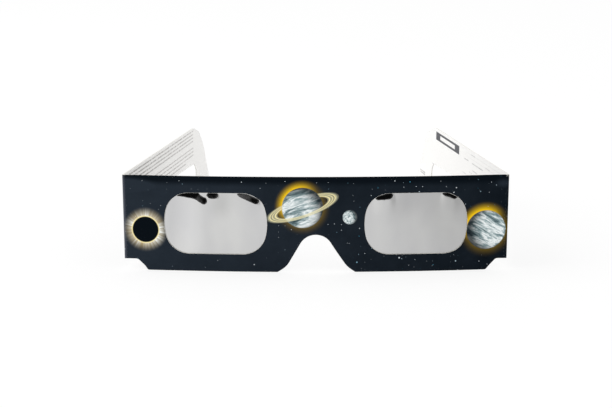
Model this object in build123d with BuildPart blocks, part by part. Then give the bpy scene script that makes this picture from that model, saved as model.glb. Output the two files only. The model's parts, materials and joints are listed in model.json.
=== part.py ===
from build123d import *
import os
from math import asin, cos, degrees, radians, sin, tan

# Card eclipse glasses: one die-cut card with two filter films shut between its plies.
# The front stands across X and bulges towards -Y, and the arms fold back towards +Y.
# Left and right are as seen from the front.
# The origin is under the middle of the whole object, on the surface that it stands on.

os.makedirs("parts", exist_ok=True)

# Sheet materials
card_thickness = 0.4
film_thickness = 0.1

# Front, as cut from the card
front_width = 143.0
front_height = 36.15
front_bow = 4.4
step_height = 4.2
step_width = 4.65
ramp_run = 3.3
ramp_radius = 1.2

# Nose notch: a round bridge, straight flanks and a flared foot
notch_height = 14.3
bridge_radius = 6.5
flank_angle = 60.0
flare_rise = 2.1
flare_run = 3.35
flare_radius = 8.0
notch_foot_radius = 1.2

# Windows, as the bands of card that they leave
window_top_band = 6.25
window_bottom_band = 6.75
window_end_band = 15.35
window_bridge = 36.1
window_radius = 8.8
window_side_bulge = 3.5
widest_corner_share = 0.48

# Filter films, held in the glue between the plies
film_side_lap = 4.6
film_edge_lap = 3.1
film_corner = 1.0
film_clearance = 0.3
glue_inset = 1.0

# Back flap, folded over the top edge behind the front
flap_setback = 3.5
flap_taper = 2.6
flap_lift = 0.7
flap_corner_radius = 3.0
flap_window_margin = 0.4
flap_notch_margin = 0.6
fold_end_gap = 0.2

# Creases
crease_lip = 0.8
crease_clearance = 0.05

# Arms: lengths along the arm, and heights down from its top edge
arm_fold_in = 10.6
arm_length = 126.0
root_run = 5.0
root_radius = 18.0
taper_run = 49.0
strip_height = 15.3
strip_end_height = 16.5
strip_start_radius = 55.0
strip_end_radius = 5.5
hook_width = 22.6
hook_front_radius = 7.5
hook_back_radius = 8.0
hook_back_lean = 26.0
shoulder_lead = 5.4
shoulder_run = 13.4
shoulder_drop = 4.5
shoulder_radius = 4.0
shoulder_start_radius = 22.0

# Two corners closer than this are the same corner
same_place = 0.01
quarter_turn = 90.0

# Hinge axes: vertical lines on the inner face of the front, one card inside each end
axis_x = front_width / 2 - card_thickness
bow_radius = (axis_x**2 + front_bow**2) / (2 * front_bow)
end_angle = asin(axis_x / bow_radius)
fold_in = radians(arm_fold_in)

# The line through the two hinge axes lies where the whole object is centred in Y
reach_front = front_bow + card_thickness
reach_back = arm_length * cos(fold_in) + card_thickness * sin(fold_in)
chord_y = (reach_front - reach_back) / 2
bow_centre_y = chord_y + bow_radius - front_bow

# The fold goes round the edge of the film's gap, and both plies end below it
fold_radius = card_thickness + film_thickness / 2
fold_seat = front_height - fold_radius
fold_half_width = axis_x - flap_setback
sheet_reach = front_bow + 2 * card_thickness + film_thickness

window_width = front_width / 2 - window_end_band - window_bridge / 2
window_height = front_height - window_top_band - window_bottom_band
window_x = (window_bridge + window_width) / 2
window_z = window_bottom_band + window_height / 2
window_corner = min(window_radius, widest_corner_share * min(window_width, window_height))
film_width = window_width + 2 * film_side_lap
film_height = window_height + 2 * film_edge_lap

front_plane = Plane(origin=(0, chord_y, 0), x_dir=(1, 0, 0), z_dir=(0, -1, 0))
bow_axis = Axis((0, bow_centre_y, 0), (0, 0, 1))


def corners(sketch, x, y):
    # The sketch's corners at height y and at distance x on either side of its middle
    return [
        corner
        for corner in sketch.vertices()
        if abs(abs(corner.X) - x) < same_place and abs(corner.Y - y) < same_place
    ]


def at(sketch, x, y):
    # The sketch's one corner at a point
    return [corner for corner in corners(sketch, abs(x), y) if corner.X * x > 0]


def bow_sheet(outer_radius, thickness):
    # Keeps what lies in an upright sheet that is bowed about the bow's axis
    with BuildSketch(Plane(origin=(0, bow_centre_y, 0))) as ring:
        Circle(outer_radius)
        Circle(outer_radius - thickness, mode=Mode.SUBTRACT)
    extrude(ring.sketch, amount=front_height, mode=Mode.INTERSECT)


# Outline of the nose notch, as a closed shape that reaches the bottom edge
with BuildSketch() as notch:
    half_peak = radians(quarter_turn - flank_angle)
    peak = notch_height + bridge_radius * (1 / sin(half_peak) - 1)
    flare_x = (peak - flare_rise) * tan(half_peak)
    notch_foot = flare_x + flare_run
    with BuildLine():
        Polyline(
            (notch_foot, 0),
            (flare_x, flare_rise),
            (0, peak),
            (-flare_x, flare_rise),
            (-notch_foot, 0),
            close=True,
        )
    make_face()
    fillet(corners(notch, 0, peak), bridge_radius)
    fillet(corners(notch, flare_x, flare_rise), flare_radius)

# Outline of one window, about its own centre
with BuildSketch() as window:
    half_wide = window_width / 2 - window_side_bulge
    half_high = window_height / 2
    with BuildLine():
        Line((-half_wide, half_high), (half_wide, half_high))
        SagittaArc((half_wide, half_high), (half_wide, -half_high), window_side_bulge)
        Line((half_wide, -half_high), (-half_wide, -half_high))
        SagittaArc((-half_wide, -half_high), (-half_wide, half_high), window_side_bulge)
    make_face()
    fillet(window.vertices(), window_corner)

# Outline of the back flap: tapered sides, round lower corners, the same notch
with BuildSketch() as flap:
    flap_foot = fold_half_width - flap_taper
    with BuildLine():
        Polyline(
            (-flap_foot, flap_lift),
            (flap_foot, flap_lift),
            (fold_half_width, fold_seat),
            (-fold_half_width, fold_seat),
            close=True,
        )
    make_face()
    fillet(corners(flap, flap_foot, flap_lift), flap_corner_radius)
    offset(notch.sketch, amount=flap_notch_margin, mode=Mode.SUBTRACT)

# Front ply: the printed face, with windows, nose notch and a seat for the fold
with BuildPart() as front_panel:
    with BuildSketch(front_plane) as face:
        ramp_top = front_width / 2 - step_width
        ramp_foot = ramp_top - ramp_run
        with BuildLine():
            Polyline(
                (0, front_height),
                (front_width / 2, front_height),
                (front_width / 2, step_height),
                (ramp_top, step_height),
                (ramp_foot, 0),
                (0, 0),
            )
            mirror(about=Plane.YZ)
        make_face()
        fillet(corners(face, ramp_top, step_height), ramp_radius)
        fillet(corners(face, ramp_foot, 0), ramp_radius)
        add(notch.sketch, mode=Mode.SUBTRACT)
        fillet(corners(face, notch_foot, 0), notch_foot_radius)
        with Locations((window_x, window_z), (-window_x, window_z)):
            add(window.sketch, mode=Mode.SUBTRACT)
        with Locations((0, fold_seat)):
            Rectangle(
                2 * (fold_half_width + fold_end_gap),
                2 * fold_radius,
                align=(Align.CENTER, Align.MIN),
                mode=Mode.SUBTRACT,
            )
    extrude(amount=sheet_reach, both=True)
    bow_sheet(bow_radius + card_thickness, card_thickness)
    for side in (1, -1):
        tangent = (side * cos(end_angle), sin(end_angle), 0)
        end = (
            side * axis_x - crease_lip * tangent[0],
            chord_y - crease_lip * tangent[1],
            0,
        )
        split(bisect_by=Plane(origin=end, z_dir=tangent), keep=Keep.BOTTOM)
front_panel.part.label = "front_panel"
export_step(front_panel.part, "parts/front_panel.step")

# Back ply: the flap behind the films, with its windows cut a little larger
with BuildPart() as back_panel:
    with BuildSketch() as flap_window:
        offset(window.sketch, amount=flap_window_margin)
    with BuildSketch(front_plane):
        add(flap.sketch)
        with Locations((window_x, window_z), (-window_x, window_z)):
            add(flap_window.sketch, mode=Mode.SUBTRACT)
    extrude(amount=sheet_reach, both=True)
    bow_sheet(bow_radius - film_thickness, card_thickness)
back_panel.part.label = "back_panel"
export_step(back_panel.part, "parts/back_panel.step")

# Fold that joins the two plies over the top edge, bent round the bow with them
with BuildPart() as top_fold:
    fold_sweep = asin(fold_half_width / (bow_radius + card_thickness))
    start = (-sin(fold_sweep), -cos(fold_sweep), 0)
    fold_start = Plane(origin=(0, bow_centre_y, 0), x_dir=start, z_dir=(start[1], -start[0], 0))
    with BuildSketch(fold_start):
        with Locations((bow_radius - film_thickness / 2, fold_seat)):
            Circle(fold_radius)
            Circle(film_thickness / 2, mode=Mode.SUBTRACT)
            Rectangle(
                2 * fold_radius,
                fold_radius,
                align=(Align.CENTER, Align.MAX),
                mode=Mode.SUBTRACT,
            )
    revolve(axis=bow_axis, revolution_arc=2 * degrees(fold_sweep))
top_fold.part.label = "top_fold"
export_step(top_fold.part, "parts/top_fold.step")

# Filter films, one behind each window
for name, film_x in (("left_film", -window_x), ("right_film", window_x)):
    with BuildPart() as film:
        with BuildSketch(front_plane):
            with Locations((film_x, window_z)):
                RectangleRounded(film_width, film_height, film_corner)
        extrude(amount=sheet_reach, both=True)
        bow_sheet(bow_radius, film_thickness)
    film.part.label = name
    export_step(film.part, f"parts/{name}.step")

# Glue between the plies, laid round both films
with BuildPart() as glue_layer:
    with BuildSketch(front_plane):
        offset(flap.sketch, amount=-glue_inset)
        with Locations((window_x, window_z), (-window_x, window_z)):
            RectangleRounded(
                film_width + 2 * film_clearance,
                film_height + 2 * film_clearance,
                film_corner,
                mode=Mode.SUBTRACT,
            )
    extrude(amount=sheet_reach, both=True)
    bow_sheet(bow_radius, film_thickness)
glue_layer.part.label = "glue_layer"
export_step(glue_layer.part, "parts/glue_layer.step")

# Scored fold between front and arm: a lip of the front's card and the round bead of the crease
with BuildPart() as right_crease:
    tangent = (cos(end_angle), sin(end_angle), 0)
    with BuildSketch(Plane(origin=(axis_x, chord_y, step_height), x_dir=tangent, z_dir=(0, 0, 1))):
        with BuildLine():
            Polyline(
                (-card_thickness, 0),
                (-crease_lip, 0),
                (-crease_lip, -card_thickness),
                (0, -card_thickness),
            )
            CenterArc((0, 0), card_thickness, start_angle=-quarter_turn, arc_size=3 * quarter_turn)
        make_face()
    extrude(amount=front_height - step_height)
right_crease.part.label = "right_crease"
export_step(right_crease.part, "parts/right_crease.step")

with BuildPart() as left_crease:
    mirror(right_crease.part, about=Plane.YZ)
left_crease.part.label = "left_crease"
export_step(left_crease.part, "parts/left_crease.step")

# Arm: a deep root at the crease, a narrow strip along the temple and a hook behind the ear
with BuildPart() as right_arm:
    arm_start = card_thickness + crease_clearance
    hook_start = arm_length - hook_width
    strip_start = root_run + taper_run
    strip_z = front_height - strip_height
    strip_end_z = front_height - strip_end_height
    shoulder_start = hook_start - shoulder_lead
    shoulder = (shoulder_start + shoulder_run, front_height - shoulder_drop)
    along = (-sin(fold_in), cos(fold_in), 0)
    outward = (cos(fold_in), sin(fold_in), 0)
    with BuildSketch(Plane(origin=(axis_x, chord_y, 0), x_dir=along, z_dir=outward)) as arm_face:
        with BuildLine():
            foot = CenterArc(
                (arm_length - hook_back_radius, hook_back_radius),
                hook_back_radius,
                start_angle=-quarter_turn,
                arc_size=quarter_turn + hook_back_lean,
            )
            TangentArc(foot @ 1, shoulder, tangent=foot % 1)
            Polyline(
                foot @ 0,
                (hook_start, 0),
                (hook_start, strip_end_z),
                (strip_start, strip_z),
                (root_run, step_height),
                (arm_start, step_height),
                (arm_start, front_height),
                (shoulder_start, front_height),
                shoulder,
            )
        make_face()
        fillet(at(arm_face, hook_start, 0), hook_front_radius)
        fillet(at(arm_face, hook_start, strip_end_z), strip_end_radius)
        fillet(at(arm_face, strip_start, strip_z), strip_start_radius)
        fillet(at(arm_face, root_run, step_height), root_radius)
        fillet(at(arm_face, *shoulder), shoulder_radius)
        fillet(at(arm_face, shoulder_start, front_height), shoulder_start_radius)
    extrude(amount=card_thickness)
right_arm.part.label = "right_arm"
export_step(right_arm.part, "parts/right_arm.step")

with BuildPart() as left_arm:
    mirror(right_arm.part, about=Plane.YZ)
left_arm.part.label = "left_arm"
export_step(left_arm.part, "parts/left_arm.step")
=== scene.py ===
import bmesh
import bpy
import json
import math
from mathutils import Matrix, Vector, noise


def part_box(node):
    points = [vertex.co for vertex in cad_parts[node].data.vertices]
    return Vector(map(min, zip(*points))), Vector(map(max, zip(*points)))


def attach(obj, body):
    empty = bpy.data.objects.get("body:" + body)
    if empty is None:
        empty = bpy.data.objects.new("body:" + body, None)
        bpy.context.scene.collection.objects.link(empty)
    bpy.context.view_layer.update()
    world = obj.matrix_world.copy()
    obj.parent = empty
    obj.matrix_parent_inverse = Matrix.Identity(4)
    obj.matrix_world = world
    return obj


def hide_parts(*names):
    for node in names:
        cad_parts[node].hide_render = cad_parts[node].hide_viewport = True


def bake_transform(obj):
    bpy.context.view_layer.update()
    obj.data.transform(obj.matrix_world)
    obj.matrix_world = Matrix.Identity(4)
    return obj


# Card eclipse glasses: bowed two-ply front, mirror film in both windows, arms folded on creases.
# Places and sizes are in millimetres and become metres when a mesh is made.
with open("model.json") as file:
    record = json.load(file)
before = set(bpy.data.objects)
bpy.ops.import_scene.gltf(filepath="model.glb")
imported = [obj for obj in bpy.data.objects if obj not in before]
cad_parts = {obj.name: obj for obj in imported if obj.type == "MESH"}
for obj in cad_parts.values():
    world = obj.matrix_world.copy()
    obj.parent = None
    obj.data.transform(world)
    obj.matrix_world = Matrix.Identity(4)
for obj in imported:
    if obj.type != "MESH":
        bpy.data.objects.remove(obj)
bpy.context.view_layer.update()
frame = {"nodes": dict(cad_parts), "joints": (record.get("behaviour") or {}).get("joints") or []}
mm = 0.001

cardStock = {
    "thickness": 0.4,
    "cutRounding": 0.05,  # how far the die rounds a cut edge
    "wearWidth": 0.45,  # the printed rim that rubs first
    "grid": 1.6,  # spacing of the cuts that let a sheet bend
}
filmStock = {"thickness": 0.1, "cutRounding": 0.01, "wearWidth": 0.2, "grid": 0.4}
thickness, filmGap = cardStock["thickness"], filmStock["thickness"]
sheetWave = {"height": 0.07, "length": 34.0}  # slight unevenness of handled card
foldSpread = 0.19  # how far pressing spreads the fold's ends, which closes the slit beside it
sharpAngle = 32  # degrees from which an edge is shaded sharp
onEdge = 0.02  # how close a point lies to count as on an edge or a face

hinges = {joint["child"]: Vector(joint["pos_m"]) / mm for joint in frame["joints"]}
axisX, chordY, _ = hinges["right_temple"]
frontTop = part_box("front_panel")[1].z / mm
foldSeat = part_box("back_panel")[1].z / mm
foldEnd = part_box("top_fold")[1].x / mm + foldSpread
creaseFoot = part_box("right_crease")[0].z / mm
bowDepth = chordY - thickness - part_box("front_panel")[0].y / mm
bowRadius = (axisX**2 + bowDepth**2) / (2 * bowDepth)
bowCentre = chordY - bowDepth + bowRadius
endAngle = math.asin(axisX / bowRadius)


def colour(hexCode):
    # sRGB hex to the linear values that shaders use
    parts = [int(hexCode[i:i + 2], 16) / 255 for i in (1, 3, 5)]
    return (*[p / 12.92 if p <= 0.04045 else ((p + 0.055) / 1.055) ** 2.4 for p in parts], 1.0)


def addNode(tree, kind, inputs=(), stops=None, **settings):
    # Adds a shader node. Inputs are values, sockets or nodes, by name or in the order that they show.
    node = tree.nodes.new("ShaderNode" + kind)
    for name, value in settings.items():
        setattr(node, name, value)
    shown = [socket for socket in node.inputs if socket.enabled]
    pairs = inputs.items() if isinstance(inputs, dict) else enumerate(inputs)
    for key, value in pairs:
        socket = node.inputs[key] if isinstance(key, str) else shown[key]
        if isinstance(value, bpy.types.Node):
            value = next(output for output in value.outputs if output.enabled)
        if isinstance(value, bpy.types.NodeSocket):
            tree.links.new(value, socket)
        elif value is not None:
            socket.default_value = value
    if stops:
        ramp = node.color_ramp.elements
        while len(ramp) < len(stops):
            ramp.new(0.5)
        for element, (place, code) in zip(ramp, stops):
            element.position, element.color = place, colour(code)
    return node


def addObject(name, data):
    body = bpy.data.objects.new(name, data)
    bpy.context.collection.objects.link(body)
    return body


def newMaterial(name):
    material = bpy.data.materials.new(name)
    material.use_nodes = True
    material.node_tree.nodes.clear()
    return material, material.node_tree


def closeMaterial(tree, shader):
    addNode(tree, "OutputMaterial", {"Surface": shader})


def calculate(tree, operation, *values, clamp=False):
    return addNode(tree, "Math", values, operation=operation, use_clamp=clamp)


def product(tree, first, *others, clamp=False):
    for other in others:
        first = calculate(tree, "MULTIPLY", first, other, clamp=clamp)
    return first


def remap(tree, value, start, end, low=0, high=1, eased=False):
    # Carries one range over to another and holds the ends
    kind = "SMOOTHSTEP" if eased else "LINEAR"
    return addNode(tree, "MapRange", (value, start, end, low, high), interpolation_type=kind)


def vectorNode(tree, operation, *values):
    return addNode(tree, "VectorMath", values, operation=operation)


def lengthOf(tree, vector):
    return vectorNode(tree, "LENGTH", vector).outputs["Value"]


def axes(tree, place):
    return addNode(tree, "SeparateXYZ", (place,)).outputs


noiseSpan = (0.3, 0.7)  # between which nearly all of a noise's values lie


def flatNoise(tree, place, scale, detail, roughness=0.5):
    inputs = {"Vector": place, "Scale": scale, "Detail": detail, "Roughness": roughness}
    return addNode(tree, "TexNoise", inputs, noise_dimensions="2D")


armFoldIn = 10.6  # degrees that an arm turns in from square at rest
creaseSwing = math.pi / 2 - endAngle - math.radians(armFoldIn)  # how far the card turns at a crease
armStart = bowRadius * endAngle + thickness * creaseSwing  # flat distance to where an arm starts
foldReach = thickness + filmGap / 2
foldLine = foldSeat + math.pi / 2 * foldReach  # flat height of the fold's middle


def sheetPlace(tree):
    # The sheet's own flat coordinates, from metres to millimetres
    place = addNode(tree, "UVMap", uv_map="flat")
    return vectorNode(tree, "SCALE", place, 1 / mm)


# Camera, fitted to the photograph's corners and edges
cameraFit = {
    "azimuth": -0.04,
    "elevation": 13.408,
    "roll": -0.036,
    "distance": 518.83,
    "aimX": -3.605,
    "aimZ": 24.926,
    "focalPixels": 1397.6,
    "pictureWidth": 612,
    "sensor": 36.0,
    "clip": (0.01, 50),  # metres
}


def makeCamera():
    lens = bpy.data.cameras.new("camera")
    lens.sensor_width = cameraFit["sensor"]
    lens.lens = cameraFit["focalPixels"] / cameraFit["pictureWidth"] * cameraFit["sensor"]
    lens.clip_start, lens.clip_end = cameraFit["clip"]
    body = addObject("camera", lens)
    turn, rise = math.radians(cameraFit["azimuth"]), math.radians(cameraFit["elevation"])
    back = Vector((math.sin(turn) * math.cos(rise), -math.cos(turn) * math.cos(rise), math.sin(rise)))
    aim = Vector((cameraFit["aimX"], chordY, cameraFit["aimZ"]))
    facing = (-back).to_track_quat("-Z", "Y").to_matrix()
    roll = Matrix.Rotation(math.radians(cameraFit["roll"]), 3, "Z")
    place = (aim + back * cameraFit["distance"]) * mm
    body.matrix_world = Matrix.Translation(place) @ (facing @ roll).to_4x4()
    bpy.context.scene.camera = body


makeCamera()
print("camera made")


# Sheets: each gives its flat place (across, up, depth below its face) for a point, and back

def bowedSheet(faceRadius, way):
    # A sheet bent round the bow. Its depth runs inwards with way -1 and outwards with way 1.
    def toFlat(p):
        return p.x, p.z, way * (math.hypot(p.x, p.y - bowCentre) - faceRadius)

    def toSpace(across, up, depth):
        radius = faceRadius + way * depth
        return Vector((across, bowCentre - math.sqrt(radius**2 - across**2), up))

    return toFlat, toSpace


def flatArm(side, foldIn):
    # An arm's flat plane: across runs along the arm from its hinge axis, depth inwards
    turn = math.radians(foldIn)
    origin = Vector((side * axisX, chordY, 0))
    along = Vector((-side * math.sin(turn), math.cos(turn), 0))
    outward = Vector((side * math.cos(turn), math.sin(turn), 0))

    def toFlat(p):
        return (p - origin).dot(along), p.z, thickness - (p - origin).dot(outward)

    def toSpace(across, up, depth):
        lift = thickness - depth
        return origin + along * across + outward * lift + Vector((0, 0, up))

    return toFlat, toSpace


def outlinesOf(node, toFlat):
    # The closed outlines of a CAD sheet's face, outer one first, as flat points
    samePoint = 1e-6  # metres
    form = bmesh.new()
    form.from_mesh(frame["nodes"][node].data)
    bmesh.ops.remove_doubles(form, verts=form.verts, dist=samePoint)
    flat = {vert: toFlat(vert.co / mm) for vert in form.verts}
    face = {f for f in form.faces if all(abs(flat[v][2]) < onEdge for v in f.verts)}
    rim = [e for e in form.edges if sum(f in face for f in e.link_faces) == 1]
    neighbours = {}
    for edge in rim:
        a, b = edge.verts
        neighbours.setdefault(a, []).append(b)
        neighbours.setdefault(b, []).append(a)
    loops = []
    while neighbours:
        start = min(neighbours, key=lambda v: v.index)
        loop, here, before = [], start, None
        while here in neighbours:
            loop.append(Vector(flat[here][:2]))
            onward = [v for v in neighbours.pop(here) if v is not before]
            before, here = here, onward[0]
        loops.append(loop)
    form.free()

    def signedArea(loop):
        return sum(p.cross(q) for p, q in zip(loop, loop[1:] + loop[:1])) / 2

    loops.sort(key=lambda loop: -abs(signedArea(loop)))
    # the outer outline runs anticlockwise and holes clockwise, so card is always on the left
    return [
        loop if (signedArea(loop) > 0) == (place == 0) else loop[::-1]
        for place, loop in enumerate(loops)
    ]


def insetLoop(loop, amount, isSquare):
    # The outline moved into the card, except where its edge stays square
    leastCosine = 0.4  # holds back points at sharp corners
    moved = []
    for before, here, after in zip(loop[-1:] + loop[:-1], loop, loop[1:] + loop[:1]):
        inwardA = (here - before).normalized().orthogonal()
        inwardB = (after - here).normalized().orthogonal()
        bisector = (inwardA + inwardB).normalized()
        stretch = 1 / max(leastCosine, bisector.dot(inwardA))
        moved.append(here if isSquare(here) else here + bisector * amount * stretch)
    return moved


def sheetMesh(name, stock, loops, toSpace, isSquare, warp, flatX, flatY=lambda up: up):
    # A cut sheet: rings of points round each outline, filled faces, then cuts that let it bend
    form = bmesh.new()
    rub = form.verts.layers.float.new("wear")
    rounding, thick, rimWear, tiny = stock["cutRounding"], stock["thickness"], 0.8, 1e-4
    soft = rounding * 0.3  # where the rounded edge's middle lies
    # inset from the outline, depth below the face, wear
    upperRings = [
        (stock["wearWidth"], 0, 0.0), (rounding, 0, rimWear), (soft, soft, 1.0), (0, rounding, 1.0),
    ]
    rings = upperRings + [(inset, thick - depth, wear) for inset, depth, wear in upperRings[::-1]]
    caps = [[], []]
    for loop in loops:
        made = []
        for inset, depth, wear in rings:
            ring = [form.verts.new((*p, -depth)) for p in insetLoop(loop, inset, isSquare)]
            for vert, corner in zip(ring, loop):
                vert[rub] = 0 if isSquare(corner) else wear
            made.append(ring)
        for low, high in zip(made, made[1:]):
            for i in range(len(loop)):
                form.faces.new((low[i - 1], low[i], high[i], high[i - 1]))
        for cap, ring in zip(caps, (made[0], made[-1])):
            cap.extend(form.edges.get((ring[i - 1], ring[i])) for i in range(len(ring)))
    for cap in caps:
        bmesh.ops.triangle_fill(form, edges=cap, use_beauty=True)
    bmesh.ops.remove_doubles(form, verts=form.verts, dist=tiny)
    for axis in (0, 1):
        low = min(v.co[axis] for v in form.verts)
        high = max(v.co[axis] for v in form.verts)
        count = max(1, round((high - low) / stock["grid"]))
        normal = Vector((1 - axis, axis, 0))
        for step in range(1, count):
            point = normal * (low + (high - low) * step / count)
            everything = form.verts[:] + form.edges[:] + form.faces[:]
            bmesh.ops.bisect_plane(form, geom=everything, plane_co=point, plane_no=normal, dist=tiny)
    bmesh.ops.recalc_face_normals(form, faces=form.faces)
    form.normal_update()
    flatUv = form.loops.layers.uv.new("flat")
    flatEnough = 0.95
    for face in form.faces:
        up = face.normal.z
        face.material_index = 0 if up > flatEnough else 1 if up < -flatEnough else 2
        face.smooth = True
        for corner in face.loops:
            corner[flatUv].uv = (flatX(corner.vert.co.x) * mm, flatY(corner.vert.co.y) * mm)
    for vert in form.verts:
        across, up, depth = vert.co.x, vert.co.y, -vert.co.z
        place = toSpace(across, up, depth + warp(across, up))
        vert.co = place * mm
    bmesh.ops.recalc_face_normals(form, faces=form.faces)
    return finishMesh(name, form)


def finishMesh(name, form):
    mesh = bpy.data.meshes.new(name)
    form.to_mesh(mesh)
    form.free()
    mesh.set_sharp_from_angle(angle=math.radians(sharpAngle))
    return addObject(name, mesh)


def frontWave(across, up):
    return sheetWave["height"] * noise.noise(Vector((across, up, 0)) / sheetWave["length"])


# Materials

skyPrint = {
    "skyDark": "#020a12",
    "skyPale": "#232b34",
    "ends": (-72.0, 72.0),  # the sky is palest at the first and darkens to the other: painted light falling from the left
    "darkTone": 0.17,
    "foldShade": (4.4, 1.7),  # distances from the fold between which it darkens, in painted shade
    "foldTone": 0.1,
    # soft ovals: centre, reach and share in the middle
    "paintedCornerHighlights": [  # painted highlights at the top corners, where the fold's painted shade ends
        ((69.6, 33.1), (4.2, 2.6), 0.62),
        ((-71.0, 32.6), (14.0, 3.4), 2.0),
    ],
    # painted highlight along the left crease's bend, where it faces the light, and the paler colour
    # it blends to
    "paintedCreaseHighlight": ((-71.6, 16.0), (1.2, 60.0), 0.6),
    "creaseHighlightInk": "#6b6e78",
    "skyCloud": 22.0,  # mm across one soft cloud
    "cloudTone": (-0.16, 0.16),  # how far clouds move the sky's tone
    "fewestStars": 0.4,  # share of the stars that the pale end keeps
    "starSizes": 2.0,  # power that makes small stars commoner
    "smallestStar": 0.4,  # as a share of the widest in its field
    "starGlint": (0.6, 0.35, 1.3),  # size of full light, least light, most light
    "blueFrom": (0.7, 0.9),  # random draws between which stars turn blue
    "bareBoard": "#e6e4df",
    "starWhite": "#e3ecf2",
    "starBlue": "#4fb0d0",
    "planetPale": "#f3f8f8",
    "planetMid": "#8fa3a6",
    "planetDeep": "#33484e",
    "gold": "#f6c713",
    "paleGold": "#fdeeb0",
    "motifEdge": 0.03,  # softness of a motif's rim, as a share of its radius
    "dusk": (-0.15, 0.75),  # how far a spot faces the sun, from night to full day
    "nightSide": 0.9,  # how far a planet's night side sinks into the sky
    "glowSides": (0.12, 1.1),  # glow on the side away from the sun and towards it
    "glowFall": 2.1,
    "rubbedSpeck": 2.6,  # specks of rubbed ink to a mm
    "rubLimit": (0.86, 0.5),  # noise that rubs ink off where wear is 0 and where it is 1
    "rubEdge": 0.03,
    "fibre": 0.9,  # mm across one fibre flock, which shows in the coat as a faint bump
    "bump": {"Strength": 0.15, "Distance": 0.00003},
    "roughness": 0.42,
    "specular": 0.04,
}
# Motifs: centre and radius in mm, reaches as shares of the radius, tilt in degrees, spans of noise
ringedPlanet = {
    "centre": (-4.9, 24.6), "radius": 7.6, "tilt": 19, "sun": (-0.5, -0.2, 0.8),
    "bands": (0.8, 3.6, 0.8), "sunSide": (-0.7, 0.7), "glowReach": 1.42, "ringInner": 1.26,
    "ringOuter": 1.86, "ringEdge": 0.08, "ringSlant": 3.6, "grooves": 7.0, "grooveSpan": (0.4, 0.6),
    "grooveTone": (0.35, 1.0),
}
smallMoon = {
    "centre": (12.6, 21.0), "radius": 2.7, "tilt": 35, "sun": (-0.5, 0.2, 0.8),
    "bands": (2.2, 3.0, 2.2),
}
bandedPlanet = {
    "centre": (63.4, 15.4), "radius": 7.4, "tilt": -28, "sun": (0.55, 0.35, 0.75),
    "bands": (0.9, 4.2, 0.9), "sunSide": (-0.5, 0.8), "glowReach": 1.5,
}
darkSun = {
    "centre": (-63.4, 15.6), "radius": 4.9, "coronaReach": 1.8, "rimReach": 1.14,
    "hazeFall": 2.2, "hazeShare": 0.5, "rayFall": 1.9,
    "raySpan": (0.35, 0.65), "fullRay": 1.15,
    "rays": ((1.6, 0.6), (9.0, 0.7)),  # noise scale and weakest ray of the broad and the fine rays
}
starFields = [
    # mm from star to star, widest star, share of cells that hold one, shift of the pattern
    (9.5, 0.43, 0.5, 3.7),
    (4.4, 0.27, 0.4, 40.0),
    (2.3, 0.2, 0.3, 71.0),
]


def starLayer(tree, place, field):
    # Stars of one size class, one cell of the field each, most cells left empty
    cell, radius, share, shift = field
    moved = vectorNode(tree, "ADD", place, (shift, shift, 0))
    cells = addNode(tree, "TexVoronoi", {"Vector": moved, "Scale": 1 / cell}, voronoi_dimensions="2D")
    dice = addNode(tree, "SeparateColor", (cells.outputs["Color"],))
    across = axes(tree, place)["X"]
    least = remap(tree, across, *skyPrint["ends"], 1 - share * skyPrint["fewestStars"], 1 - share)
    kept = calculate(tree, "GREATER_THAN", dice.outputs[0], least)
    size = calculate(tree, "POWER", dice.outputs[1], skyPrint["starSizes"])
    widest = radius / cell
    reach = remap(tree, size, 0, 1, widest * skyPrint["smallestStar"], widest)
    core = remap(tree, cells.outputs["Distance"], reach, 0, eased=True)
    glint = remap(tree, size, 0, *skyPrint["starGlint"])
    light = product(tree, core, kept, glint, clamp=True)
    return light, remap(tree, dice.outputs[2], *skyPrint["blueFrom"])


def blendColour(tree, share, below, above):
    # Colours are sockets, hex codes or names of the sky's inks
    below, above = (colour(skyPrint.get(c, c)) if isinstance(c, str) else c for c in (below, above))
    return addNode(tree, "Mix", (share, below, above), data_type="RGBA")


def ballPlace(tree, place, motif):
    # Place within a motif: its radius is 1, its tilt is undone
    inputs = {
        "Vector": place,
        "Location": (*motif["centre"], 0),
        "Rotation": (0, 0, math.radians(motif.get("tilt", 0))),
        "Scale": (motif["radius"], motif["radius"], 1),
    }
    return addNode(tree, "Mapping", inputs, vector_type="TEXTURE")


def ballMask(tree, spot):
    edge = skyPrint["motifEdge"]
    return remap(tree, lengthOf(tree, spot), 1 + edge, 1 - edge, eased=True)


def ballShade(tree, spot, sun):
    # Sunlit side of a ball drawn flat
    reach = lengthOf(tree, spot)
    square = product(tree, reach, reach)
    height = calculate(tree, "SQRT", calculate(tree, "SUBTRACT", 1.0, square, clamp=True))
    flat = axes(tree, spot)
    ball = addNode(tree, "CombineXYZ", (flat["X"], flat["Y"], height))
    facing = vectorNode(tree, "DOT_PRODUCT", ball, sun).outputs["Value"]
    return remap(tree, facing, *skyPrint["dusk"], eased=True), ball


def drawPlanet(tree, place, sky, motif):
    # A ball with streaky bands of cloud, dark on its night side
    spot = ballPlace(tree, place, motif)
    lit, ball = ballShade(tree, spot, motif["sun"])
    stretched = vectorNode(tree, "MULTIPLY", ball, motif["bands"])
    streaks = {"Vector": stretched, "Scale": 1.0, "Detail": 6.0, "Roughness": 0.62, "Distortion": 0.4}
    bands = addNode(tree, "TexNoise", streaks)
    surface = addNode(
        tree, "ValToRGB", (bands,),
        stops=[
            (0.34, skyPrint["planetDeep"]), (0.46, skyPrint["planetMid"]),
            (0.56, skyPrint["planetPale"]), (0.66, skyPrint["planetMid"]),
        ],
    )
    dark = blendColour(tree, skyPrint["nightSide"], surface, "skyDark")
    body = blendColour(tree, lit, dark, surface)
    return blendColour(tree, ballMask(tree, spot), sky, body)


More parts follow.
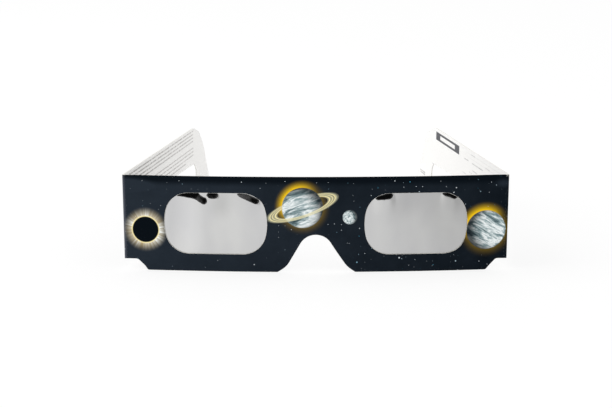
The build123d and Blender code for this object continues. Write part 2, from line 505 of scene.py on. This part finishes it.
def drawGlow(tree, place, sky, motif):
    # Sunlight from behind one side of a ball: gold at its rim, fading through olive into the sky
    spot = ballPlace(tree, place, {"centre": motif["centre"], "radius": motif["radius"]})
    reach = lengthOf(tree, spot)
    unit = vectorNode(tree, "NORMALIZE", spot)
    towards = Vector(motif["sunSide"]).to_3d().normalized()
    facing = vectorNode(tree, "DOT_PRODUCT", unit, towards).outputs["Value"]
    side = remap(tree, facing, 0, 1, *skyPrint["glowSides"], eased=True)
    fade = remap(tree, reach, motif["glowReach"], 1.0)
    fade = calculate(tree, "POWER", fade, skyPrint["glowFall"], clamp=True)
    return blendColour(tree, product(tree, fade, side, clamp=True), sky, "gold")


def drawRing(tree, place, sky, motif):
    # Thin ring round the planet: behind its upper half, in front of its lower half
    spot = ballPlace(tree, place, motif)
    flattened = vectorNode(tree, "MULTIPLY", spot, (1, motif["ringSlant"], 0))
    reach = lengthOf(tree, flattened)
    inner, outer, edge = motif["ringInner"], motif["ringOuter"], motif["ringEdge"]
    opens = remap(tree, reach, inner, inner + edge)
    closes = remap(tree, reach, outer, outer - edge)
    inputs = {"W": reach, "Scale": motif["grooves"], "Detail": 3.0}
    grooves = addNode(tree, "TexNoise", inputs, noise_dimensions="1D")
    groove = remap(tree, grooves, *motif["grooveSpan"], *motif["grooveTone"])
    lower = calculate(tree, "LESS_THAN", axes(tree, spot)["Y"], 0.0)
    clear = calculate(tree, "SUBTRACT", 1.0, ballMask(tree, spot))
    shown = calculate(tree, "MAXIMUM", clear, lower)
    share = product(tree, opens, closes, shown, groove)
    ringColour = blendColour(tree, groove, "planetMid", "paleGold")
    return blendColour(tree, share, sky, ringColour)


def drawDarkSun(tree, place, sky, motif):
    # Total eclipse: black disc, bright rim, pearl streamers in a faint golden haze
    spot = ballPlace(tree, place, motif)
    reach = lengthOf(tree, spot)
    unit = vectorNode(tree, "NORMALIZE", spot)
    fade = remap(tree, reach, motif["coronaReach"], 1.0)
    haze = calculate(tree, "POWER", fade, motif["hazeFall"], clamp=True)
    sky = blendColour(tree, product(tree, haze, motif["hazeShare"]), sky, "gold")
    for scale, least in motif["rays"]:
        rays = addNode(tree, "TexNoise", {"Vector": unit, "Scale": scale, "Detail": 2.0})
        depth = remap(tree, rays, *motif["raySpan"], least, motif["fullRay"])
        fade = product(tree, fade, depth)
    share = calculate(tree, "POWER", fade, motif["rayFall"], clamp=True)
    sky = blendColour(tree, share, sky, "planetPale")
    rim = remap(tree, reach, motif["rimReach"], 1.0, eased=True)
    sky = blendColour(tree, rim, sky, "paleGold")
    return blendColour(tree, ballMask(tree, spot), sky, "skyDark")


def softSpot(tree, place, spot):
    # A soft oval: its share in the middle, nothing beyond its reach
    centre, reach, share = spot
    moved = vectorNode(tree, "SUBTRACT", place, (*centre, 0))
    scaled = vectorNode(tree, "DIVIDE", moved, (*reach, 1))
    return remap(tree, lengthOf(tree, scaled), 1, 0, 0, share, eased=True)


def rubbedBoard(tree, place):
    # Where handling has rubbed the ink off: broken specks, more of them where wear is high
    wear = addNode(tree, "Attribute", attribute_name="wear").outputs["Fac"]
    specks = flatNoise(tree, place, skyPrint["rubbedSpeck"], detail=8.0, roughness=0.75)
    limit = remap(tree, wear, 0, 1, *skyPrint["rubLimit"])
    over = calculate(tree, "SUBTRACT", specks, limit)
    return remap(tree, over, 0, skyPrint["rubEdge"])


def nightSky(tree, place):
    # Deep blue ink in soft clouds, with painted light and shade: palest at one end, almost black
    # under the fold, paler at the top corners and along the left crease
    flat = axes(tree, place)
    # painted light: the sky fades from its lit left end to its darker right end
    across = remap(tree, flat["X"], *skyPrint["ends"], 1, skyPrint["darkTone"])
    # painted shade: the sky darkens towards the fold, on the front and on the flap behind it
    away = calculate(tree, "ABSOLUTE", calculate(tree, "SUBTRACT", flat["Y"], foldLine))
    shade = remap(tree, away, *skyPrint["foldShade"], 1, skyPrint["foldTone"], eased=True)
    cloud = flatNoise(tree, place, 1 / skyPrint["skyCloud"], detail=8.0, roughness=0.68)
    drift = remap(tree, cloud, *noiseSpan, *skyPrint["cloudTone"])
    tone = product(tree, calculate(tree, "ADD", across, drift), shade)
    # painted highlights lift the tone at the top corners
    for corner in skyPrint["paintedCornerHighlights"]:
        lift = softSpot(tree, place, corner)
        tone = calculate(tree, "ADD", tone, lift, clamp=True)
    sky = blendColour(tree, tone, "skyDark", "skyPale")
    # painted highlight on the left crease, which faces the light
    creaseSheen = softSpot(tree, place, skyPrint["paintedCreaseHighlight"])
    return blendColour(tree, creaseSheen, sky, "creaseHighlightInk")


def closeSheet(tree, body, bump, roughness, specular):
    inputs = {
        "Base Color": body, "Roughness": roughness, "Specular IOR Level": specular, "Normal": bump,
    }
    closeMaterial(tree, addNode(tree, "BsdfPrincipled", inputs))


def makeSkyPrint():
    # Offset print on bleached board under a thin water-based coat: deep ink with a low satin sheen
    material, tree = newMaterial("coatedNightSkyPrint")
    place = sheetPlace(tree)
    sky = nightSky(tree, place)
    for field in starFields:
        light, tint = starLayer(tree, place, field)
        starColour = blendColour(tree, tint, "starWhite", "starBlue")
        sky = blendColour(tree, light, sky, starColour)
    for planet in (bandedPlanet, ringedPlanet):
        sky = drawGlow(tree, place, sky, planet)
        sky = drawPlanet(tree, place, sky, planet)
    sky = drawRing(tree, place, sky, ringedPlanet)
    sky = drawPlanet(tree, place, sky, smallMoon)
    sky = drawDarkSun(tree, place, sky, darkSun)
    rubbed = rubbedBoard(tree, place)
    body = blendColour(tree, rubbed, sky, "bareBoard")
    fibre = flatNoise(tree, place, 1 / skyPrint["fibre"], detail=4.0)
    bump = addNode(tree, "Bump", {"Height": fibre, **skyPrint["bump"]})
    closeSheet(tree, body, bump, skyPrint["roughness"], skyPrint["specular"])
    return material


rawBoard = {
    "white": "#f2f1ef",
    "cutEdge": "#dedcd6",
    "fibres": 1.6,  # fibre flocks to a mm
    "fibreTone": (0.96, 1.02),
    "roughness": 0.85,
    "cutRoughness": 0.9,
    "specular": 0.3,
    "bump": {"Strength": 0.12, "Distance": 0.00005},
}


def bareBoard(tree, place, code):
    # Colour and fine height of uncoated board: a faint cloud of fibres
    fibre = flatNoise(tree, place, rawBoard["fibres"], detail=6.0, roughness=0.65)
    tone = remap(tree, fibre, *noiseSpan, *rawBoard["fibreTone"])
    body = vectorNode(tree, "SCALE", colour(code)[:3], tone)
    return body, addNode(tree, "Bump", {"Height": fibre, **rawBoard["bump"]})


def makeBareBoard(name, code, roughness):
    # Uncoated side of bleached paperboard: matt white with a little fibre
    material, tree = newMaterial(name)
    body, bump = bareBoard(tree, sheetPlace(tree), code)
    closeSheet(tree, body, bump, roughness, rawBoard["specular"])
    return material


# Printing on the arms' inner faces: places along the arm from its crease, and drops from its top
innerPrint = {
    "leftInk": "#574f4a",
    "rightInk": "#4c4d52",
    # lines: from, to, first line's drop, pitch, how many, thickness, share of ink
    "leftRules": [
        (7, 99, 1.55, 1.48, 4, 0.6, 0.56), (13, 99, 9.0, 1.56, 3, 0.56, 0.52),
        (13, 86, 13.7, 1.56, 1, 0.6, 0.6),
    ],
    "rightRules": [
        (8, 52, 1.8, 1.6, 2, 0.3, 0.12), (8, 36, 9.2, 1.6, 3, 0.3, 0.14),
        (113.5, 122, 23.4, 0.9, 2, 0.6, 0.55),
    ],
    # short dashes: from, to, drop, share of ink
    "rightDashes": [
        (30.5, 44.6, 5.0, 0.5), (48.7, 54.8, 4.9, 0.42), (21.8, 27.6, 3.35, 0.25),
        (40.4, 46, 1.75, 0.25), (37.2, 43.8, 7.8, 0.35), (44.4, 48.4, 9.2, 0.25),
        (52.7, 58.2, 10.95, 0.22), (96.7, 102.4, 16.55, 0.55), (78.5, 82, 16.1, 0.5),
    ],
    "dashPitch": 1.5,
    "dashThickness": 0.46,
    "frame": {
        "start": 62.2, "end": 96.8, "drop": 1.35, "height": 3.6, "side": 6.4, "band": 0.98,
        "share": 0.95,
    },
    "edge": 0.1,  # softness of a line's and the frame's edges
    "endEdge": 0.15,
    "lineSoft": 0.4,  # softness across a line, as a share of half its thickness
    "pressed": (1.2, 0.85),  # strength of the ink at a line's start and at its end
    "blots": (0.7, 1.4, 0),  # blots to a mm along and across the lines
    "blotInk": (0.38, 0.56, 0.25, 1.0),  # range of the blots' noise, and ink at its ends
}


def stripMask(tree, value, low, high, soft):
    # 1 between two values, with a soft border
    opens = remap(tree, value, low - soft, low + soft)
    closes = remap(tree, value, high - soft, high + soft, 1, 0)
    return product(tree, opens, closes)


def ruledLines(tree, along, drop, solid, rule):
    # Evenly spaced thin lines, their ink a little broken
    start, end, first, pitch, count, thick, share = rule
    row = calculate(tree, "DIVIDE", calculate(tree, "SUBTRACT", drop, first), pitch)
    nearest = calculate(tree, "ROUND", row)
    off = calculate(tree, "ABSOLUTE", calculate(tree, "SUBTRACT", row, nearest))
    half, soft = thick / 2 / pitch, innerPrint["lineSoft"]
    line = remap(tree, off, half * (1 - soft), half * (1 + soft), share, 0)
    rows = stripMask(tree, nearest, -0.5, count - 0.5, innerPrint["edge"])
    run = stripMask(tree, along, start, end, innerPrint["endEdge"])
    pressed = remap(tree, along, start, end, *innerPrint["pressed"])
    return product(tree, line, rows, run, pressed, solid)


def printedFrame(tree, along, drop, form):
    # A plain dark frame round a bare field
    start, end, top, side, band = (form[key] for key in ("start", "end", "drop", "side", "band"))
    bottom, edge, endEdge = top + form["height"], innerPrint["edge"], innerPrint["endEdge"]
    wide, tall = stripMask(tree, along, start, end, edge), stripMask(tree, drop, top, bottom, edge)
    outer = product(tree, wide, tall)
    wide = stripMask(tree, along, start + side, end - side, endEdge)
    tall = stripMask(tree, drop, top + band, bottom - band, edge)
    inner = product(tree, wide, tall)
    return product(tree, calculate(tree, "SUBTRACT", outer, inner), form["share"])


def makeInnerBoard(name, ink, rules, form):
    # Uncoated side of an arm with grey offset ink on it: plain lines and a frame
    material, tree = newMaterial(name)
    place = sheetPlace(tree)
    body, bump = bareBoard(tree, place, rawBoard["white"])
    flat = axes(tree, place)
    along = calculate(tree, "SUBTRACT", calculate(tree, "ABSOLUTE", flat["X"]), armStart)
    drop = calculate(tree, "SUBTRACT", frontTop, flat["Y"])
    stretched = vectorNode(tree, "MULTIPLY", place, innerPrint["blots"])
    blots = flatNoise(tree, stretched, 1.0, detail=3.0, roughness=0.7)
    solid = remap(tree, blots, *innerPrint["blotInk"])
    masks = [ruledLines(tree, along, drop, solid, rule) for rule in rules]
    if form:
        masks.append(printedFrame(tree, along, drop, form))
    for mask in masks:
        body = blendColour(tree, mask, body, ink)
    closeSheet(tree, body, bump, rawBoard["roughness"], rawBoard["specular"])
    return material


driedGlue = {"deep": "#d8d0b4", "pale": "#e6e1cd", "cloudsToMetre": 400.0, "roughness": 0.45}


def makeGlue():
    # Dried dispersion adhesive in the thin seam: yellowish, satin, slightly cloudy
    material, tree = newMaterial("driedDispersionGlue")
    place = addNode(tree, "TexCoord").outputs["Object"]
    inputs = {"Vector": place, "Scale": driedGlue["cloudsToMetre"], "Detail": 3.0}
    body = blendColour(tree, addNode(tree, "TexNoise", inputs), driedGlue["deep"], driedGlue["pale"])
    inputs = {"Base Color": body, "Roughness": driedGlue["roughness"]}
    closeMaterial(tree, addNode(tree, "BsdfPrincipled", inputs))
    return material


filterFilm = {
    "silver": "#cfcfce",
    "dullSilver": "#c5c5c6",
    "roughness": 0.1,
    "streakWide": 14.0,  # mm from one soft band of thicker metal to the next
    "streakTall": 26.0,
    # soft oval patches, and how much brighter or darker each is
    "brightnessPatches": [
        ((-46.7, 17.5), (8.0, 26.0), 0.15),
        ((-34.9, 25.9), (6.0, 8.5), -0.15),
        ((33.3, 25.6), (7.0, 7.5), -0.07),
        ((50.3, 27.0), (7.0, 7.0), -0.1),
    ],
}


def makeFilterFilm():
    # Metallised polyester: a soft grey mirror, with slight streaks of thinner and thicker metal
    material, tree = newMaterial("metallisedPolyester")
    place = sheetPlace(tree)
    size = (1 / filterFilm["streakWide"], 1 / filterFilm["streakTall"], 0)
    stretched = vectorNode(tree, "MULTIPLY", place, size)
    streaks = flatNoise(tree, stretched, 1.0, detail=2.5, roughness=0.45)
    share = remap(tree, streaks, *noiseSpan)
    silver = blendColour(tree, share, filterFilm["silver"], filterFilm["dullSilver"])
    tone = 1.0
    for patchSpot in filterFilm["brightnessPatches"]:
        tone = calculate(tree, "ADD", tone, softSpot(tree, place, patchSpot))
    silver = vectorNode(tree, "SCALE", silver, tone)
    inputs = {"Base Color": silver, "Metallic": 1.0, "Roughness": filterFilm["roughness"]}
    closeMaterial(tree, addNode(tree, "BsdfPrincipled", inputs))
    return material


printedBoard = makeSkyPrint()
plainBoard = makeBareBoard("uncoatedBleachedBoard", rawBoard["white"], rawBoard["roughness"])
boardCore = makeBareBoard("cutBoardEdge", rawBoard["cutEdge"], rawBoard["cutRoughness"])
cardFaces = [printedBoard, plainBoard, boardCore]
rightDashes = [
    (start, end, drop, innerPrint["dashPitch"], 1, innerPrint["dashThickness"], share)
    for start, end, drop, share in innerPrint["rightDashes"]
]
innerBoards = {
    "left": makeInnerBoard("ruledLeftArmBoard", innerPrint["leftInk"], innerPrint["leftRules"], None),
    "right": makeInnerBoard(
        "ruledRightArmBoard", innerPrint["rightInk"], innerPrint["rightRules"] + rightDashes,
        innerPrint["frame"],
    ),
}
mirrorFilm = makeFilterFilm()
seamGlue = makeGlue()
print("materials made")


# Pieces

def dress(piece, body, nodes, materials):
    for material in materials:
        piece.data.materials.append(material)
    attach(piece, body)
    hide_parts(*nodes)


def arcLength(x):
    return bowRadius * math.asin(x / bowRadius)


frontSheet = bowedSheet(bowRadius + thickness, -1)
flapSheet = bowedSheet(bowRadius - filmGap - thickness, 1)
filmSheet = bowedSheet(bowRadius, -1)


def smooth(value):
    value = min(1, max(0, value))
    return value * value * (3 - 2 * value)


# Where the die's real cut wanders from the CAD outline: centre, reach and shift of soft ovals
bothPlies = [
    ((-64.6, 1.4), (6.0, 6.0), (1.0, 0.0)),
    ((66.85, 4.6), (4.0, 4.5), (0.45, 0.0)),
    ((11.0, 1.5), (10.0, 12.0), (0.7, 0.0)),
]
cutWander = {
    "back_panel": bothPlies,
    "front_panel": [
        *bothPlies,
        ((-19.5, 27.5), (5.0, 5.0), (0.26, 0.16)),
        ((52.5, 9.7), (6.0, 6.0), (0.26, -0.24)),
    ],
    "left_arm": [
        ((97.5, 36.0), (9.0, 5.0), (2.4, -0.42)),
        ((112.0, 31.0), (9.0, 8.0), (-2.4, 0.87)),
        ((122.0, 15.0), (14.0, 22.0), (-1.5, 0.0)),
    ],
}


def cutOutlines(node, toFlat):
    # A sheet's outlines as the die really cut them
    def moved(point):
        place = point.copy()
        for centre, reach, shift in cutWander.get(node, []):
            offset = point - Vector(centre)
            away = math.hypot(offset.x / reach[0], offset.y / reach[1])
            place += Vector(shift) * smooth(1 - away)
        return place

    return [[moved(point) for point in loop] for loop in outlinesOf(node, toFlat)]


def makeFrontPly():
    def isSquare(point):
        atTop = point.y > foldSeat - onEdge
        atCrease = abs(point.x) > axisX - crease["frontSquare"]
        return atTop or atCrease

    loops = cutOutlines("front_panel", frontSheet[0])
    piece = sheetMesh("frontPly", cardStock, loops, frontSheet[1], isSquare, frontWave, arcLength)
    facingUp = 0.7
    for face in piece.data.polygons:
        if face.normal.z > facingUp and face.center.z > foldSeat * mm:
            face.material_index = 0  # ink runs over the top edge beside the fold
    dress(piece, "front", ["front_panel"], cardFaces)


def makeBackFlap():
    def isSquare(point):
        return abs(point.y - foldSeat) < onEdge

    loops = cutOutlines("back_panel", flapSheet[0])
    piece = sheetMesh(
        "backFlap", cardStock, loops, flapSheet[1], isSquare,
        lambda across, up: -frontWave(across, up), arcLength, lambda up: 2 * foldLine - up,
    )
    dress(piece, "front", ["back_panel"], cardFaces)


def sweepBlock(stations, rings, point, flatPoint, wear):
    # A solid from a row of cross-sections, each going along its printed side, then its bare one
    form = bmesh.new()
    rub = form.verts.layers.float.new("wear")
    flatUv = form.loops.layers.uv.new("flat")
    grid, flats = [], {}
    for station in stations:
        row = []
        for ring in rings:
            vert = form.verts.new(point(station, ring) * mm)
            vert[rub] = wear(station, ring)
            flats[vert] = flatPoint(station, ring)
            row.append(vert)
        grid.append(row)
    half = len(rings) // 2
    for low, high in zip(grid, grid[1:]):
        for i in range(len(rings)):
            face = form.faces.new((low[i - 1], low[i], high[i], high[i - 1]))
            face.material_index = 2 if i % half == 0 else 0 if i < half else 1
    for end in (grid[0], grid[-1]):
        form.faces.new(end).material_index = 2
    bmesh.ops.recalc_face_normals(form, faces=form.faces)
    for face in form.faces:
        face.smooth = True
        for corner in face.loops:
            corner[flatUv].uv = [value * mm for value in flats[corner.vert]]
    return form


topFold = {"turns": 12, "wear": 0.3}


def makeTopFold():
    inner, turns = filmGap / 2, topFold["turns"]
    rings = [(foldReach, math.pi * i / turns) for i in range(turns + 1)]
    rings += [(inner, math.pi * (turns - i) / turns) for i in range(turns + 1)]
    steps = round(2 * foldEnd / cardStock["grid"])
    stations = [foldEnd * (2 * i / steps - 1) for i in range(steps + 1)]

    def point(across, ring):
        reach, turn = ring
        radius = bowRadius - filmGap / 2 + reach * math.cos(turn)
        y = bowCentre - math.sqrt(radius**2 - across**2)
        return Vector((across, y + frontWave(across, foldSeat), foldSeat + reach * math.sin(turn)))

    def flatPoint(across, ring):
        return arcLength(across), foldSeat + ring[1] * foldReach

    form = sweepBlock(stations, rings, point, flatPoint, lambda across, ring: topFold["wear"])
    dress(finishMesh("topFold", form), "front", ["top_fold"], cardFaces)


def makeArm(side, word):
    toFlat, toSpace = flatArm(side, armFoldIn)

    def isSquare(point):
        return point.x < crease["armSquare"]

    loops = cutOutlines(f"{word}_arm", toFlat)
    piece = sheetMesh(
        f"{word}Arm", cardStock, loops, toSpace, isSquare, lambda across, up: 0,
        lambda x: side * (armStart + x),
    )
    faces = [printedBoard, innerBoards[word], boardCore]
    dress(piece, f"{word}_temple", [f"{word}_arm"], faces)


# How far the creased strip reaches on to the front and the arm, and how it bends and wears
crease = {
    "lip": 0.8, "armStart": 0.45, "innerRadius": 0.02, "turns": 10,
    "frontSquare": 0.9, "armSquare": 0.5,  # this near the axis both sheets' edges stay square
    "wear": 0.4, "chipTall": 1.2, "chipWear": 1.0,
}


def makeCrease(side, word):
    # The scored card between front and arm, built bent to the arm's rest angle
    foldIn = math.radians(armFoldIn)
    axis = Vector((side * axisX, chordY, 0))
    alongFront = Vector((side * math.cos(endAngle), math.sin(endAngle), 0))
    outFront = Vector((side * math.sin(endAngle), -math.cos(endAngle), 0))
    alongArm = Vector((-side * math.sin(foldIn), math.cos(foldIn), 0))
    outArm = Vector((side * math.cos(foldIn), math.sin(foldIn), 0))
    swing = outFront.angle(outArm)
    profile = [(axis - alongFront * crease["lip"] * part, outFront, 0) for part in (1, 0.5)]
    for i in range(crease["turns"] + 1):
        turn = side * swing * i / crease["turns"]
        profile.append((axis, Matrix.Rotation(turn, 3, "Z") @ outFront, 1))
    profile += [(axis + alongArm * crease["armStart"], outArm, 0)]
    rings = [(root + out * thickness, i) for i, (root, out, bend) in enumerate(profile)]
    rings += [
        (root + out * crease["innerRadius"] * bend, len(profile) - 1 - i)
        for i, (root, out, bend) in enumerate(profile[::-1])
    ]
    steps = round((frontTop - creaseFoot) / cardStock["grid"])
    stations = [creaseFoot + (frontTop - creaseFoot) * i / steps for i in range(steps + 1)]

    def point(up, ring):
        return ring[0] + Vector((0, 0, up))

    outer = [root + out * thickness for root, out, bend in profile]
    runs = [0]
    for before, here in zip(outer, outer[1:]):
        runs.append(runs[-1] + (here - before).length)

    def flatPoint(up, ring):
        return side * (arcLength(axisX) - crease["lip"] + runs[ring[1]]), up

    def wear(up, ring):
        isChipped = side > 0 and up > frontTop - crease["chipTall"]
        return crease["chipWear"] if isChipped else crease["wear"]

    form = sweepBlock(stations, rings, point, flatPoint, wear)
    piece = finishMesh(f"{word}Crease", form)
    for material in cardFaces:
        piece.data.materials.append(material)
    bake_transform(piece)
    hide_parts(f"{word}_crease")


# Film puckers under each window's top edge. Each is a leaning patch with round ends, given by its
# line (across from the window's middle, drop from its top), then half width and slope at both ends.
filmPuckers = {
    "left": [
        ((-14.2, 0.7), (-7.2, 1.1), 0.7, 1.45, 0.28, 0.28),
        ((-6.6, 1.9), (-4.15, 3.3), 1.3, 1.35, 0.2, 0.23),
        ((-1.9, 1.1), (0.1, 1.15), 1.25, 1.3, 0.25, 0.22),
        ((9.2, 0.6), (15.1, 3.05), 1.25, 1.25, 0.17, 0.26),
    ],
    "right": [
        ((-14.4, 2.05), (-9.85, 1.15), 0.75, 1.3, 0.28, 0.25),
        ((10.5, 0.6), (14.3, 1.8), 0.95, 1.05, 0.27, 0.27),
    ],
}
filmForm = {
    "mapStep": 0.2,
    "mapReach": (20.0, 14.0),  # half of the window's width, and how far below its top a pucker tells
    "crinkle": 0.3,  # how much a patch's slope varies
    "crinkleWide": 1.1,
    "softness": 0.3,  # mm over which a patch's rim turns
    "fallBack": 5.0,  # mm over which the film falls back below a patch
    "spread": 2,  # how strongly the lift spreads sideways on its way down
    "edgeHold": 0.35,  # mm inside a window's edge where the plies still hold the film
    "cornerShare": 0.76,  # a window's corner radius as a share of half its height
    "waveHeight": 0.16,
    "waveWide": 11.0,
    "waveTall": 26.0,
    "waveSettle": 5.0,  # mm inside a window's edge where the waves are full
    "mapFade": 3.0,  # mm over which the map fades out at its foot
}


def patchShare(here, patch):
    # How far a place counts as in a leaning patch, from 0 to 1, and the patch's slope there
    start, end, startHalf, endHalf, startSlope, endSlope = patch
    start, run = Vector(start), Vector(end) - Vector(start)
    share = min(1, max(0, (here - start).dot(run) / run.length_squared))
    gap = (here - start - run * share).length - startHalf - (endHalf - startHalf) * share
    slope = startSlope + (endSlope - startSlope) * share
    return smooth(0.5 - gap / (2 * filmForm["softness"])), slope


def windowDepth(across, up, window):
    # How far a place lies inside the window's rounded outline, negative outside it
    low, high = window
    middle, half = (low + high) / 2, (high - low) / 2
    radius = half.y * filmForm["cornerShare"]
    offset = Vector((abs(across - middle.x), abs(up - middle.y))) - half + Vector((radius, radius))
    beyond = Vector((max(0, offset.x), max(0, offset.y))).length
    return radius - beyond - min(0, max(offset.x, offset.y))


def liftMap(word, window):
    # Lift of the film, row by row from the window's top: it grows in a patch and fades below
    low, high = window
    step = filmForm["mapStep"]
    reachAcross, reachDown = filmForm["mapReach"]
    middle = (low.x + high.x) / 2
    places = [i * step - reachAcross for i in range(round(2 * reachAcross / step) + 1)]
    lifts, rows = [0] * len(places), []
    for j in range(round(reachDown / step) + 1):
        drop = j * step
        for _ in range(filmForm["spread"]):
            sides = zip([0] + lifts[:-1], lifts, lifts[1:] + [0])
            lifts = [0.25 * a + 0.5 * b + 0.25 * c for a, b, c in sides]
        for i, across in enumerate(places):
            here = Vector((across, drop))
            share, slope = max(patchShare(here, patch) for patch in filmPuckers[word])
            share *= windowDepth(middle + across, high.y - drop, window) > 0
            crinkle = noise.noise(here.to_3d() / filmForm["crinkleWide"])
            slope *= 1 + filmForm["crinkle"] * crinkle
            lifts[i] += step * (share * slope - (1 - share) * lifts[i] / filmForm["fallBack"])
        rows.append(list(lifts))
    return rows


def readMap(rows, across, drop):
    # The map's lift between its grid points, faded out at its foot
    step = filmForm["mapStep"]
    short = 1.001  # stops just before the last row and column
    x = min(len(rows[0]) - short, max(0, (across + filmForm["mapReach"][0]) / step))
    y = min(len(rows) - short, max(0, drop / step))
    i, j = int(x), int(y)
    x, y = x - i, y - j
    upper = rows[j][i] * (1 - x) + rows[j][i + 1] * x
    lower = rows[j + 1][i] * (1 - x) + rows[j + 1][i + 1] * x
    fade = smooth((filmForm["mapReach"][1] - drop) / filmForm["mapFade"])
    return (upper * (1 - y) + lower * y) * fade


def filmShape(word, window):
    # Lift of the film towards the viewer inside its window
    low, high = window
    middle = (low.x + high.x) / 2
    lifts = liftMap(word, window)

    def warp(across, up):
        depthInside = windowDepth(across, up, window)
        if depthInside <= 0:
            return frontWave(across, up)
        held = smooth(depthInside / filmForm["edgeHold"])
        lift = readMap(lifts, across - middle, high.y - up)
        place = Vector((across / filmForm["waveWide"], up / filmForm["waveTall"], middle))
        wave = noise.noise(place)
        settle = smooth(depthInside / filmForm["waveSettle"])
        return frontWave(across, up) - held * lift - settle * filmForm["waveHeight"] * wave

    return warp


def windowBoxes():
    # Lowest and highest corner of each window, the left one first
    boxes = [
        [Vector((end(p.x for p in loop), end(p.y for p in loop))) for end in (min, max)]
        for loop in outlinesOf("front_panel", frontSheet[0])[1:]
    ]
    return sorted(boxes, key=lambda box: box[0].x)


def makeFilm(side, word):
    loops = outlinesOf(f"{word}_film", filmSheet[0])
    window = windowBoxes()[0 if side < 0 else 1]
    piece = sheetMesh(
        f"{word}Film", filmStock, loops, filmSheet[1], lambda point: False,
        filmShape(word, window), arcLength,
    )
    dress(piece, "front", [f"{word}_film"], [mirrorFilm] * 3)


makeFrontPly()
makeBackFlap()
makeTopFold()
for side, word in ((-1, "left"), (1, "right")):
    makeArm(side, word)
    makeCrease(side, word)
    makeFilm(side, word)
glue = frame["nodes"]["glue_layer"]
glue.data.materials.clear()
glue.data.materials.append(seamGlue)
print("pieces made")


# Stage, in metres: white sweep, soft light, and the dark room that the film mirrors above the sweep,
# a faintly glowing panel seen only in reflections

stage = {
    "floorWidth": 6.0,
    "white": (1, 1, 1, 1),
    "floorPaper": (0.9, 0.9, 0.9, 1),
    "floorGlow": 0.8,  # share of the sweep's look that is plain background
    "sweepFar": 0.55,  # how bright the sweep's darker, right hand side looks in the film: a painted falloff of light, seen only in reflections
    "sweepTurn": (0.0, 0.11),  # where it starts and ends to darken, metres across
    "skyStrength": 1.0,
    "lampPower": 5.0,  # watts
    "lampPlace": (-0.95, -0.05, 0.85),
    "lampSize": 0.9,
    "roomPlace": (0.0, -1.1, 1.56),
    "roomSize": (4.0, 3.0),
    "roomFoot": (-1.43, -1.28),  # heights between which the room darkens, from its middle
    "roomTones": (0.12, 0.004),  # how bright it is below them and above them
}


def addFlat(name, width, height):
    mesh = bpy.data.meshes.new(name)
    x, y = width / 2, height / 2
    mesh.from_pydata([(-x, -y, 0), (x, -y, 0), (x, y, 0), (-x, y, 0)], [], [(0, 1, 2, 3)])
    panel = addObject(name, mesh)
    return panel


def seenRays(tree):
    # 1 for rays that show a surface as it looks: from the camera, by a mirror or through glass
    rays = addNode(tree, "LightPath").outputs
    seen = calculate(tree, "MAXIMUM", rays["Is Camera Ray"], rays["Is Glossy Ray"])
    return rays, calculate(tree, "MAXIMUM", seen, rays["Is Transmission Ray"])


def makeStage():
    floor = addFlat("floor", stage["floorWidth"], stage["floorWidth"])
    material, tree = newMaterial("whiteSweep")
    rays, seen = seenRays(tree)
    share = product(tree, seen, stage["floorGlow"])
    across = axes(tree, addNode(tree, "TexCoord").outputs["Object"])["X"]
    # painted falloff of light: to mirrors the sweep darkens towards its right
    tone = remap(tree, across, *stage["sweepTurn"], 1, stage["sweepFar"], eased=True)
    strength = remap(tree, rays["Is Glossy Ray"], 0, 1, 1, tone)
    paper = addNode(tree, "BsdfDiffuse", {"Color": stage["floorPaper"]})
    glow = addNode(tree, "Emission", {"Color": stage["white"], "Strength": strength})
    closeMaterial(tree, addNode(tree, "MixShader", (share, paper, glow)))
    floor.data.materials.append(material)

    world = bpy.data.worlds.new("studio")
    bpy.context.scene.world = world
    world.use_nodes = True
    tree = world.node_tree
    tree.nodes.clear()
    strength = remap(tree, seenRays(tree)[1], 0, 1, stage["skyStrength"], 1.0)
    sky = addNode(tree, "Background", {"Color": stage["white"], "Strength": strength})
    addNode(tree, "OutputWorld", {"Surface": sky})

    lamp = bpy.data.lights.new("softbox", "AREA")
    lamp.size = stage["lampSize"]
    lamp.energy = stage["lampPower"]
    body = addObject("softbox", lamp)
    body.location = stage["lampPlace"]
    body.rotation_euler = (-body.location).to_track_quat("-Z", "Y").to_euler()

    room = addFlat("darkRoom", *stage["roomSize"])
    room.rotation_euler = (math.radians(90), 0, 0)
    room.location = stage["roomPlace"]
    room.visible_camera = room.visible_diffuse = room.visible_shadow = False
    # painted reflection: the room glows faintly, lights nothing and shows only in mirrors, paler at
    # its foot
    material, tree = newMaterial("darkRoomReflectionGlow")
    up = axes(tree, addNode(tree, "TexCoord").outputs["Object"])["Y"]
    tone = remap(tree, up, *stage["roomFoot"], *stage["roomTones"])
    closeMaterial(tree, addNode(tree, "Emission", {"Color": stage["white"], "Strength": tone}))
    room.data.materials.append(material)


makeStage()
bpy.context.scene.view_settings.view_transform = "Standard"
print("stage made")
